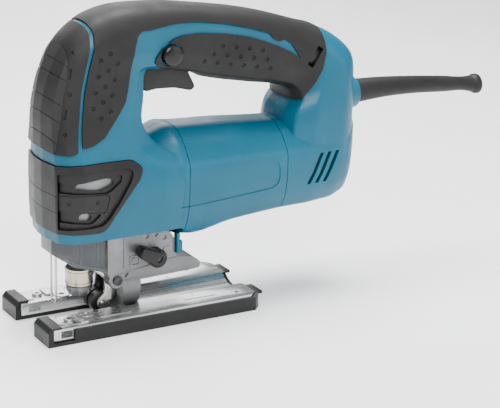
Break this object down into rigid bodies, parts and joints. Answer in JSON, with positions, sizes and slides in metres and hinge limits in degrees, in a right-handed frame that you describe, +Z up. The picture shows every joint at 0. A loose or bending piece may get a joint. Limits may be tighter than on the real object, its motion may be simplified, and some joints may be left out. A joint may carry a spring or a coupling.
{
  "type": "jigsaw",
  "caption": "Corded handheld jigsaw with a closed D-handle, soft grips, a clear dust cover and a tilting cast base with a forked front.",
  "frame": {"origin": "middle of the sole, on the flat face that rests on the work", "axes": "+X back along the base towards the cord, +Y to the right side of the tool, +Z up along the plunger"},
  "size_m": [0.3526, 0.077, 0.2072],
  "materials": {
    "blue_plastic": "satin moulded",
    "soft_grip": "matte, finely grained",
    "black_plastic": "satin moulded",
    "cast_aluminium": "die cast, machined where it slides",
    "bright_steel": "ground, nickel plated",
    "dark_steel": "blackened",
    "copper": "enamelled wire and bare copper segments",
    "carbon": "dull pressed carbon",
    "brass": "satin",
    "smoked_clear": "clear moulded",
    "lamp_lens": "clear"
  },
  "bodies": {
    "housing": {"left_shell": "blue_plastic", "right_shell": "blue_plastic", "motor_housing": "blue_plastic", "front_grip": "soft_grip", "side_grip_left": "soft_grip", "side_grip_right": "soft_grip", "palm_grip_left": "soft_grip", "palm_grip_right": "soft_grip", "cord_guard": "soft_grip", "nose_frame": "black_plastic", "switch_body": "black_plastic", "speed_controller": "black_plastic", "gear_housing": "cast_aluminium", "bearing_plate": "cast_aluminium", "bush_bracket": "cast_aluminium", "front_bearing": "bright_steel", "rear_bearing": "bright_steel", "gear_shaft": "bright_steel", "wire_guard": "bright_steel", "retainer_pin": "dark_steel", "lever_pin": "dark_steel", "base_clamp_bolt": "dark_steel", "stator_core": "dark_steel", "shell_screw_1": "dark_steel", "shell_screw_2": "dark_steel", "shell_screw_3": "dark_steel", "shell_screw_4": "dark_steel", "field_coil_upper": "copper", "field_coil_lower": "copper", "brush_left": "carbon", "brush_right": "carbon", "lower_bush": "brass", "upper_bush": "brass", "brush_holder_left": "brass", "brush_holder_right": "brass", "led_lamp": "lamp_lens"},
    "opener": {"tool_opener": "black_plastic"},
    "sleeve": {"clamp_sleeve": "bright_steel"},
    "cover": {"dust_cover": "smoked_clear"},
    "plunger": {"plunger": "bright_steel", "blade_clamp": "dark_steel"},
    "crank": {"crank_gear": "dark_steel"},
    "armature": {"armature_shaft": "bright_steel", "armature_core": "dark_steel", "commutator": "copper", "fan": "black_plastic"},
    "trigger": {"trigger": "black_plastic"},
    "lock_button": {"lock_button": "black_plastic"},
    "speed_dial": {"speed_dial": "black_plastic"},
    "retainer": {"roller_retainer": "dark_steel", "roller_axle": "bright_steel"},
    "roller": {"guide_roller": "dark_steel"},
    "orbital_lever": {"orbital_lever": "black_plastic"},
    "base": {"base_plate": "cast_aluminium", "sole_cover": "black_plastic"}
  },
  "joints": [
    {"name": "base_tilt", "type": "hinge", "parent": "housing", "child": "base", "pos_m": [0.0025, 0, 0.0225], "axis": [1, 0, 0], "range_deg": [-45, 45]},
    {"name": "plunger_stroke", "type": "slide", "parent": "housing", "child": "plunger", "axis": [0, 0, 1], "range_m": [0, 0.026]},
    {"name": "sleeve_turn", "type": "hinge", "parent": "plunger", "child": "sleeve", "pos_m": [-0.039, 0, 0.031], "axis": [0, 0, 1], "range_deg": [0, 45]},
    {"name": "opener_swing", "type": "hinge", "parent": "housing", "child": "opener", "pos_m": [-0.0615, 0.0205, 0.087], "axis": [0, 0, -1], "range_deg": [0, 75]},
    {"name": "cover_slide", "type": "slide", "parent": "housing", "child": "cover", "axis": [0, 0, -1], "range_m": [0, 0.022]},
    {"name": "armature_spin", "type": "hinge", "parent": "housing", "child": "armature", "pos_m": [0.0595, 0, 0.092], "axis": [1, 0, 0], "continuous": true},
    {"name": "crank_spin", "type": "hinge", "parent": "housing", "child": "crank", "pos_m": [-0.0125, 0, 0.11648], "axis": [1, 0, 0], "continuous": true},
    {"name": "trigger_pull", "type": "hinge", "parent": "housing", "child": "trigger", "pos_m": [0.0065, 0, 0.168], "axis": [0, -1, 0], "range_deg": [0, 8], "stiffness_Nm_per_rad": 0.4, "springref_deg": -5.73},
    {"name": "lock_button_press", "type": "slide", "parent": "housing", "child": "lock_button", "axis": [0, 1, 0], "range_m": [0, 0.003], "stiffness_N_per_m": 300, "springref_m": -0.002},
    {"name": "speed_dial_turn", "type": "hinge", "parent": "housing", "child": "speed_dial", "pos_m": [0.1233, -0.0115, 0.165], "axis": [-0.831, 0, 0.5563], "range_deg": [0, 270]},
    {"name": "retainer_swing", "type": "hinge", "parent": "housing", "child": "retainer", "pos_m": [-0.0198, 0, 0.0294], "axis": [0, 1, 0], "range_deg": [0, 3], "stiffness_Nm_per_rad": 0.5, "springref_deg": -5.73},
    {"name": "roller_spin", "type": "hinge", "parent": "retainer", "child": "roller", "pos_m": [-0.0265, 0, 0.012], "axis": [0, 1, 0], "continuous": true},
    {"name": "lever_turn", "type": "hinge", "parent": "housing", "child": "orbital_lever", "pos_m": [0.0065, -0.022, 0.0425], "axis": [0, 1, 0], "range_deg": [0, 90]}
  ],
  "couplings": [
    {"joint": "crank_spin", "follows": "armature_spin", "ratio": -0.2},
    {"joint": "sleeve_turn", "follows": "opener_swing", "ratio": 0.6}
  ]
}
